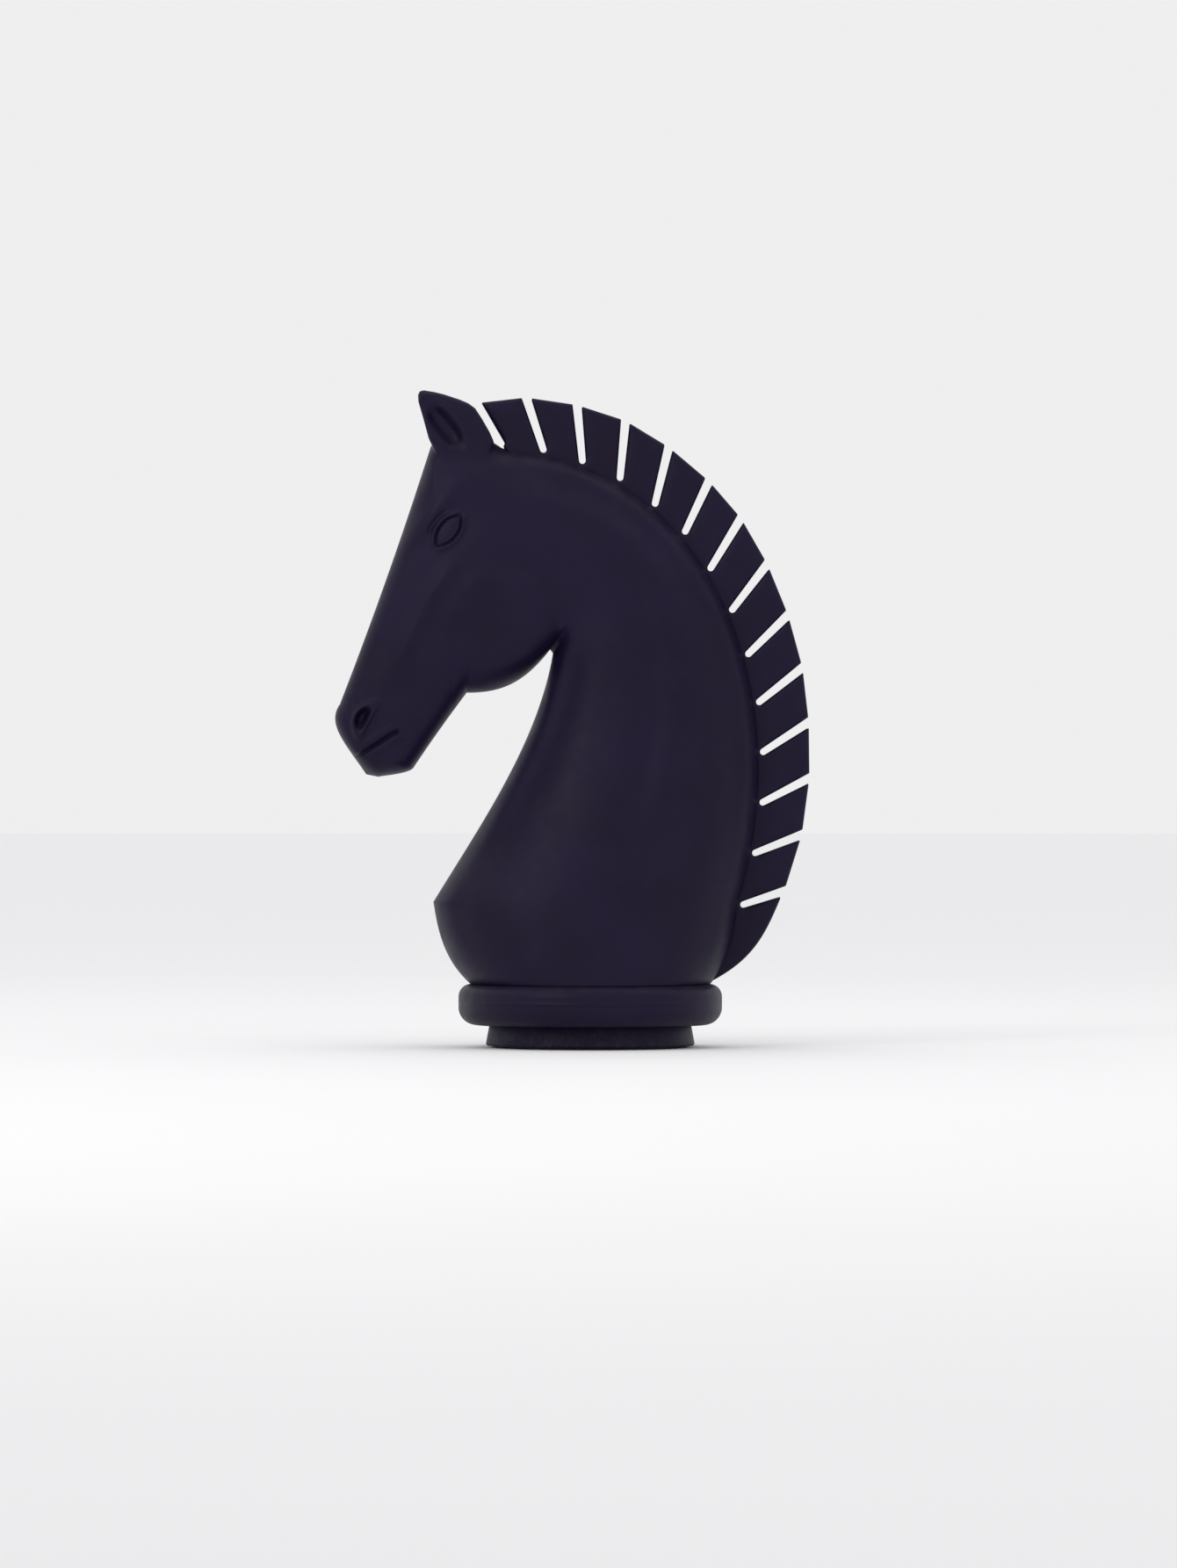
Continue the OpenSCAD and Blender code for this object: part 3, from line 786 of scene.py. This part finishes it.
def make_shell(side, screws, bore):
    """One shell with its ear, hollow, crest groove and tank bore, and the plugs over its screws."""
    shell = make_half(side)
    apply_boolean(shell, make_ear(side), "UNION")

    def root(x, y, z):
        """How near a point is to the line where the ear grows out of the head."""
        y = np.abs(y)
        near = (x > ROOT_X[0]) & (x < ROOT_X[1]) & (z > ROOT_Z)
        w = np.zeros(len(x))
        px, py, pz = x[near], y[near], z[near]
        head = (py - look_up(height, px, pz)) / np.hypot(1, look_up(SLOPE, px, pz))
        w[near] = gauss(head, 4.5) * gauss(ear_field(px, py, pz), 4.5) * smooth(py, 1.5, 5)
        return w

    relax(shell, root, 40)
    apply_boolean(shell, make_cavity(side), "DIFFERENCE")
    groove_y = sorted((-side * 1.0, side * (MANE_HALF + GROOVE_ROOM)))
    groove = prism("groove", mane_outline(GROOVE_ROOM), *groove_y)
    apply_boolean(shell, groove, "DIFFERENCE")
    hole = lathe("hole", [(0, BASE - 4), (bore, BASE - 4), (bore, BASE + 44), (0, BASE + 44)], 160)
    apply_boolean(shell, hole, "DIFFERENCE")
    caps = None
    if screws:
        tree = BVHTree.FromObject(shell, bpy.context.evaluated_depsgraph_get())
        caps, spans = make_caps(screws, side, tree)
        for x, z, low, high in spans:
            well = rod("well", x, z, WELL_R, *sorted((side * (low - WELL_DEPTH), side * (high + 6))))
            apply_boolean(shell, well, "DIFFERENCE")
    shade(shell.data, 40)
    return shell, caps


def screw_places():
    """Middle of each shell screw in the side plane, from the CAD screws' own vertices."""
    co = np.array([v.co for v in frame["nodes"]["shell_screws"].data.vertices]) / MM
    tip = co[co[:, 1] < co[:, 1].min() + 0.5]
    places = []
    for p in tip[:, [0, 2]]:
        for q in places:
            if np.hypot(*(p - q[0])) < 8:
                q.append(p)
                break
        else:
            places.append([p])
    return [tuple((np.min(q, 0) + np.max(q, 0)) / 2) for q in places]


# ---------------------------------------------------------------- materials


def tree_of(name):
    m = bpy.data.materials.new(name)
    m.use_nodes = True
    t = m.node_tree
    return m, t, t.nodes["Principled BSDF"]


def add(t, kind, **settings):
    n = t.nodes.new(kind)
    for k, v in settings.items():
        setattr(n, k, v)
    return n


def noise(t, scale, detail=3.0, rough=0.5, distortion=0.0):
    c = add(t, "ShaderNodeTexCoord")
    n = add(t, "ShaderNodeTexNoise")
    n.inputs["Scale"].default_value = scale
    n.inputs["Detail"].default_value = detail
    n.inputs["Roughness"].default_value = rough
    n.inputs["Distortion"].default_value = distortion
    t.links.new(c.outputs["Object"], n.inputs["Vector"])
    return n.outputs["Fac"]


def remap(t, value, a, b, c, d):
    n = add(t, "ShaderNodeMapRange")
    for i, v in zip((1, 2, 3, 4), (a, b, c, d)):
        n.inputs[i].default_value = v
    t.links.new(value, n.inputs[0])
    return n.outputs[0]


def math_node(t, op, a, b):
    n = add(t, "ShaderNodeMath", operation=op)
    for i, v in enumerate((a, b)):
        if isinstance(v, (int, float)):
            n.inputs[i].default_value = v
        else:
            t.links.new(v, n.inputs[i])
    return n.outputs[0]


def mix(t, fac, a, b):
    n = add(t, "ShaderNodeMix", data_type="RGBA")
    if isinstance(fac, (int, float)):
        n.inputs["Factor"].default_value = fac
    else:
        t.links.new(fac, n.inputs["Factor"])
    for i, v in ((6, a), (7, b)):
        if isinstance(v, (tuple, list)):
            n.inputs[i].default_value = (*v[:3], 1)
        else:
            t.links.new(v, n.inputs[i])
    return n.outputs[2]


def bump(t, bsdf, layers):
    """Stacks bump layers of (height output, strength, distance in metres) on a shader."""
    last = None
    for value, strength, distance in layers:
        b = add(t, "ShaderNodeBump")
        b.inputs["Strength"].default_value = strength
        b.inputs["Distance"].default_value = distance
        t.links.new(value, b.inputs["Height"])
        if last:
            t.links.new(last, b.inputs["Normal"])
        last = b.outputs["Normal"]
    t.links.new(last, bsdf.inputs["Normal"])


def upward(t):
    g = add(t, "ShaderNodeNewGeometry")
    s = add(t, "ShaderNodeSeparateXYZ")
    t.links.new(g.outputs["Normal"], s.inputs[0])
    return s.outputs["Z"], g.outputs["Pointiness"]


def height_of(t):
    g = add(t, "ShaderNodeTexCoord")
    s = add(t, "ShaderNodeSeparateXYZ")
    t.links.new(g.outputs["Object"], s.inputs[0])
    return s.outputs["Z"]


def moulded(name, colour, rough=0.46, grain=1.0, dust=0.05, scuff=0.0):
    """Coloured moulded polyethylene: fine grain, flow marks, dust on what faces up, and scuffs below."""
    m, t, b = tree_of(name)
    cloud = noise(t, 14, 5, 0.6)
    speck = noise(t, 900, 2, 0.6)
    flow = noise(t, 55, 4, 0.55, 0.6)
    up, point = upward(t)
    dark, light = [c * 0.86 for c in colour], [c * 1.22 for c in colour]
    base = mix(t, remap(t, cloud, 0.35, 0.68, 0, 1), dark, light)
    facing = remap(t, up, 0.25, 0.95, 0, 1)
    dusty = math_node(t, "MULTIPLY", facing, remap(t, noise(t, 38, 6, 0.65), 0.42, 0.72, 0.15, 1))
    dusty = math_node(t, "MULTIPLY", dusty, dust)
    base = mix(t, dusty, base, (0.30, 0.27, 0.25))
    worn = math_node(t, "MULTIPLY", remap(t, point, 0.515, 0.60, 0, 0.10), remap(t, flow, 0.4, 0.65, 0.3, 1))
    base = mix(t, worn, base, [min(1, c * 3.2 + 0.02) for c in colour])
    if scuff:
        low = remap(t, height_of(t), 0.001, 0.022, 1, 0)
        marks = remap(t, noise(t, 160, 6, 0.7, 1.5), 0.48, 0.68, 0, 1)
        soiled = math_node(t, "MULTIPLY", math_node(t, "MULTIPLY", low, marks), scuff)
        base = mix(t, soiled, base, (0.16, 0.13, 0.11))
    t.links.new(base, b.inputs["Base Color"])
    sheen = remap(t, flow, 0.3, 0.7, rough - 0.045, rough + 0.06)
    r = math_node(t, "ADD", sheen, math_node(t, "MULTIPLY", dusty, 1.6))
    t.links.new(r, b.inputs["Roughness"])
    b.inputs["Specular IOR Level"].default_value = 0.14
    bump(t, b, [(cloud, 0.10, 0.004), (flow, 0.14, 0.0008), (speck, 0.22 * grain, 0.00022)])
    return m


def two_tone(t, b, fac, dark, light):
    """Colour that wanders between two tones with a noise."""
    t.links.new(mix(t, remap(t, fac, 0.35, 0.7, 0, 1), dark, light), b.inputs["Base Color"])


def metal(name, colour, rough):
    m, t, b = tree_of(name)
    n = noise(t, 420, 4, 0.6, 0.3)
    big = noise(t, 60, 4, 0.6)
    two_tone(t, b, big, [c * 0.8 for c in colour], colour)
    t.links.new(remap(t, n, 0.3, 0.7, rough - 0.07, rough + 0.1), b.inputs["Roughness"])
    b.inputs["Metallic"].default_value = 1.0
    bump(t, b, [(n, 0.15, 0.0002)])
    return m


def rubber(name, colour, rough=0.8):
    m, t, b = tree_of(name)
    n = noise(t, 700, 3, 0.7)
    big = noise(t, 45, 5, 0.65)
    two_tone(t, b, big, colour, [c * 1.9 for c in colour])
    t.links.new(remap(t, big, 0.3, 0.7, rough - 0.08, rough + 0.08), b.inputs["Roughness"])
    b.inputs["Specular IOR Level"].default_value = 0.3
    bump(t, b, [(n, 0.35, 0.0004)])
    return m


def milky(name, colour):
    m, t, b = tree_of(name)
    cloud = noise(t, 26, 5, 0.6)
    fine = noise(t, 500, 3, 0.6)
    two_tone(t, b, cloud, [c * 0.9 for c in colour], colour)
    t.links.new(remap(t, cloud, 0.3, 0.7, 0.34, 0.5), b.inputs["Roughness"])
    b.inputs["Subsurface Weight"].default_value = 0.25
    b.inputs["Subsurface Radius"].default_value = (0.006, 0.006, 0.005)
    b.inputs["Subsurface Scale"].default_value = 1.0
    bump(t, b, [(cloud, 0.12, 0.003), (fine, 0.12, 0.0002)])
    return m


def sandy(name, colour):
    m, t, b = tree_of(name)
    grain = noise(t, 1400, 2, 0.8)
    dunes = noise(t, 40, 4, 0.6)
    dark, light = [c * 0.45 for c in colour], [min(1, c * 1.35) for c in colour]
    t.links.new(mix(t, remap(t, grain, 0.35, 0.65, 0, 1), dark, light), b.inputs["Base Color"])
    t.links.new(remap(t, grain, 0.3, 0.7, 0.8, 1.0), b.inputs["Roughness"])
    bump(t, b, [(dunes, 0.5, 0.004), (grain, 0.9, 0.001)])
    return m


def studio_paper(name, colour):
    m, t, b = tree_of(name)
    fine = noise(t, 260, 3, 0.6)
    cloud = noise(t, 1.6, 3, 0.5)
    t.links.new(mix(t, cloud, [c * 0.985 for c in colour], colour), b.inputs["Base Color"])
    t.links.new(remap(t, fine, 0.3, 0.7, 0.85, 0.95), b.inputs["Roughness"])
    b.inputs["Specular IOR Level"].default_value = 0.2
    bump(t, b, [(fine, 0.05, 0.0003)])
    return m


COLOURS = {m["slot"]: m["base_color"][:3] for m in frame["record"]["materials"]}
BUILDERS = {
    "plum_hdpe": lambda s: moulded(s, COLOURS[s]),
    "plum_mane": lambda s: moulded(s, COLOURS[s], rough=0.44),
    "plum_cap": lambda s: moulded(s, COLOURS[s], rough=0.36, grain=0.6),
    "plum_ring": lambda s: moulded(s, COLOURS[s], rough=0.38, dust=0.03),
    "plum_collar": lambda s: moulded(s, COLOURS[s], rough=0.44),
    "plum_foot": lambda s: moulded(s, COLOURS[s], rough=0.48, scuff=0.12),
    "stainless": lambda s: metal(s, COLOURS[s], 0.32),
    "zinc_screw": lambda s: metal(s, COLOURS[s], 0.42),
    "zinc_plate": lambda s: metal(s, COLOURS[s], 0.5),
    "brass_insert": lambda s: metal(s, COLOURS[s], 0.3),
    "acetal": lambda s: milky(s, COLOURS[s]),
    "natural_hdpe": lambda s: milky(s, COLOURS[s]),
    "natural_lid": lambda s: milky(s, COLOURS[s]),
    "seal_rubber": lambda s: rubber(s, COLOURS[s]),
    "pad_rubber": lambda s: rubber(s, COLOURS[s], 0.88),
    "sand": lambda s: sandy(s, COLOURS[s]),
    "orange_cap": lambda s: moulded(s, COLOURS[s], rough=0.4, dust=0.02),
}
MATERIALS = {s: make(s) for s, make in BUILDERS.items()}
SLOT_OF = {p["node"]: p["material_slot"] for p in frame["record"]["subparts"]}


def dress(o, slot_name):
    o.data.materials.clear()
    o.data.materials.append(MATERIALS[slot_name])
    return o


def place(o, body, nodes, slot_name):
    """Makes a piece ride a body in place of CAD nodes, in a material of the record."""
    dress(o, slot_name)
    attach(o, body)
    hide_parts(*nodes)
    return o


for node_name, node_object in frame["nodes"].items():
    dress(node_object, SLOT_OF[node_name])
    shade(node_object.data)

# ---------------------------------------------------------------- pieces: head, mane, plugs

tank_lo, tank_hi = box_mm("ballast_tank")
TANK_R = 64.0
BORE_R = TANK_R + 1.8
left, _ = make_shell(-1, [], BORE_R)
left.name = "head_left"
place(left, "bust", ["bust_shell_left"], "plum_hdpe")
right, caps = make_shell(1, screw_places(), BORE_R)
right.name = "head_right"
place(right, "bust", ["bust_shell_right"], "plum_hdpe")
caps.name = "well_caps"
place(caps, "bust", ["screw_caps"], "plum_cap")
place(make_mane(), "bust", ["mane_crest"], "plum_mane")

# ---------------------------------------------------------------- pieces: collar and foot

THREAD_R, PITCH, THREAD_DEPTH = 80.0, 4.0, 0.75
collar_lo, collar_hi = box_mm("collar_ring")
low_z, top_z, out_r = collar_lo[2], collar_hi[2], collar_hi[0]
lip_z = top_z - 9.5
LOW_ROUND, TOP_ROUND, BAND = 14, 10, 18.2
bore_r = THREAD_R + 1.1
collar = [(bore_r, low_z + 1.2), (bore_r + 0.35, low_z + 0.35), (bore_r + 1.2, low_z),
          (out_r - LOW_ROUND, low_z)]
collar += arc(out_r - LOW_ROUND, low_z + LOW_ROUND, LOW_ROUND, -90, 0, 20)[1:]
collar += [(out_r, low_z + BAND), (out_r + 0.22, low_z + BAND + 0.4), (out_r, low_z + BAND + 0.8)]
collar += arc(out_r - TOP_ROUND, top_z - TOP_ROUND, TOP_ROUND, 0, 90, 18)
collar += rounded([(out_r - TOP_ROUND, top_z), (73.6, top_z), (73.6, lip_z), (bore_r, lip_z),
                   (bore_r, low_z)], (0, 1.0, 0.6, 0, 0))[1:-1]
collar += steps_between(bore_r, lip_z - 0.6, low_z + 1.8, 56)
piece = lathe("collar", collar, 256, pattern=thread(bore_r, low_z + 3.5, lip_z - 5, PITCH, THREAD_DEPTH, -1))
place(piece, "collar", ["collar_ring"], "plum_collar")

foot_lo, foot_hi = box_mm("foot_plinth")
sole_z, rest_z, seat = foot_lo[2], foot_hi[2], low_z - 0.3
foot = rounded([(77.5, 7), (77.5, sole_z), (foot_hi[0], sole_z), (80.5, seat), (THREAD_R, seat)],
               (0, 0.6, 1.6, 0.7, 0))
foot += steps_between(THREAD_R, seat + 0.4, rest_z - 1.1, 56)
foot += rounded([(THREAD_R, rest_z - 1.0), (79, rest_z), (73, rest_z), (73, rest_z - 1.6),
                 (69, rest_z - 1.6), (69, rest_z), (64.2, rest_z), (64.2, 10), (74, 10), (74, 7)],
                (0.4, 0.5, 0.3, 0, 0, 0.3, 0.8, 0, 0, 0))
piece = lathe("foot", foot, 256, pattern=thread(THREAD_R, low_z + 3.5, rest_z - 3, PITCH, THREAD_DEPTH))
place(piece, "foot", ["foot_plinth"], "plum_foot")

# ---------------------------------------------------------------- pieces: ballast tank, lid and filler cap


BEAD_Z, BEAD_DEPTH, BEAD_WIDTH = (50, 80), 0.9, 1.3


def beads(angle, r, z):
    """Two shallow grooves round the tank."""
    if abs(r - TANK_R) > 0.05:
        return 0 * angle
    return 0 * angle - sum(BEAD_DEPTH * gauss(z - at, BEAD_WIDTH) for at in BEAD_Z)


tank = [(0, tank_lo[2]), (tank_hi[0] - 0.4, tank_lo[2]), (tank_hi[0], tank_lo[2] + 0.4),
        (tank_hi[0], 10), (TANK_R, 10)]
tank += steps_between(TANK_R, 11, tank_hi[2] - 0.4, 110) + [(TANK_R - 0.4, tank_hi[2])]
tank += [(TANK_R - 3.6, tank_hi[2]), (TANK_R - 3.6, 10), (0, 10)]
place(lathe("tank", tank, 192, pattern=beads), "foot", ["ballast_tank"], "natural_hdpe")

lid_lo, lid_hi = box_mm("tank_lid")
deck, rim_z = tank_hi[2], lid_hi[2]
NECK_R = 26.0
lid = rounded([(22, deck - 3), (24, deck - 3), (24, deck), (56.4, deck), (56.4, lid_lo[2]),
               (60.4, lid_lo[2]), (60.4, deck), (TANK_R, deck), (TANK_R, deck + 3.5), (46, deck + 3.5),
               (44, deck + 2.9), (32, deck + 2.9), (30.5, deck + 3.5), (NECK_R, deck + 3.5)],
              (0.4, 0.4, 0, 0, 0.5, 0.5, 0, 0.2, 1.4, 0, 0, 0, 0, 0))
lid += steps_between(NECK_R, deck + 4, rim_z - 0.7, 44)
lid += [(NECK_R - 0.5, rim_z), (22.5, rim_z), (22, rim_z - 0.5)]
piece = lathe("lid", lid, 192, pattern=thread(NECK_R, deck + 8.5, rim_z - 1.6, 3.2, 0.5))
place(piece, "foot", ["tank_lid"], "natural_lid")

cap_lo, cap_hi = box_mm("filler_cap")
CAP_R, RIBS, RIB_R, PLAIN = 30.8, 24, 1.2, 3.4
cap_top = cap_hi[2]


def ribs(angle, r, z):
    """Half-round grip ribs that run out below the cap's plain top edge."""
    if abs(r - CAP_R) > 0.05 or z > cap_top - PLAIN:
        return 0 * angle
    spacing = 2 * math.pi / RIBS
    off = (angle + spacing / 2) % spacing - spacing / 2
    return np.sqrt(np.clip(RIB_R**2 - (off * r) ** 2, 0, None)) * float(smooth(cap_top - PLAIN - z, 0, 1.4))


filler = [(26.8, cap_lo[2] + 0.5), (27.3, cap_lo[2]), (CAP_R - 0.3, cap_lo[2])]
filler += steps_between(CAP_R, cap_lo[2] + 0.3, cap_top - 2.0, 24)
filler += arc(CAP_R - 2, cap_top - 2.0, 2, 0, 90, 8)[1:]
filler += [(24.5, cap_top), (23.7, cap_top - 0.25), (23.2, cap_top - 0.9), (6, cap_top - 1.1),
           (0, cap_top - 1.1)]
filler += [(0, cap_top - 4), (26.8, cap_top - 4)]
place(lathe("filler", filler, RIBS * 20, pattern=ribs), "cap", ["filler_cap"], "orange_cap")

# ---------------------------------------------------------------- staging, lights and camera

# An open floor under an even pale sky, so that the piece can be seen from every side.
FLOOR_REACH = 30000
FLOOR_DROP = 0.4
ends = (-FLOOR_REACH, FLOOR_REACH)
verts = [(x, y, -FLOOR_DROP) for y in ends for x in ends]
ground = mesh_object("studio_floor", verts, [[0, 1, 3, 2]], closed=False)
ground.data.materials.append(studio_paper("studio_paper", (0.96, 0.96, 0.965)))


def area_light(name, at, to, size, power, colour=(1, 1, 1)):
    """A rectangular light at one point, aimed at another, in metres and watts."""
    d = bpy.data.lights.new(name, "AREA")
    d.shape = "RECTANGLE"
    d.size, d.size_y = size
    d.energy = power
    d.color = colour
    o = bpy.data.objects.new(name, d)
    o.location = at
    o.rotation_euler = (Vector(to) - Vector(at)).to_track_quat("-Z", "Y").to_euler()
    scene.collection.objects.link(o)


area_light("key", (-1.9, -2.3, 1.9), (-0.02, 0, 0.27), (1.3, 1.3), 15, (1.0, 0.99, 0.975))
area_light("fill", (2.5, -2.4, 1.0), (0, 0, 0.25), (1.8, 2.0), 3, (0.97, 0.98, 1.0))
area_light("top", (0.1, 0.2, 2.4), (0, 0, 0.25), (2.2, 1.6), 5)

world = bpy.data.worlds.new("studio_air")
world.use_nodes = True
world.node_tree.nodes["Background"].inputs["Color"].default_value = (0.99, 0.99, 1.0, 1)
world.node_tree.nodes["Background"].inputs["Strength"].default_value = 0.87
scene.world = world

scene.view_settings.view_transform = "Standard"

# The view: square on to the piece's left side and from far away. SPAN is the length that the frame's
# long side takes in at the piece, and AIM_X and AIM_Z are the frame's middle.
SPAN = 1.2495
LENS, SENSOR = 200.0, 36.0
AIM_X, AIM_Z = -0.0014, 0.2093
far = SPAN * LENS / SENSOR
aim = Vector((AIM_X, 0.0, float(cad_lo[2]) + AIM_Z))
cam_data = bpy.data.cameras.new("camera")
cam_data.lens = LENS
cam_data.sensor_width = SENSOR
cam_data.clip_start, cam_data.clip_end = 0.5, 60
camera = bpy.data.objects.new("camera", cam_data)
camera.location = aim + Vector((0, -far, 0))
camera.rotation_euler = (math.radians(90), 0, 0)
scene.collection.objects.link(camera)
scene.camera = camera
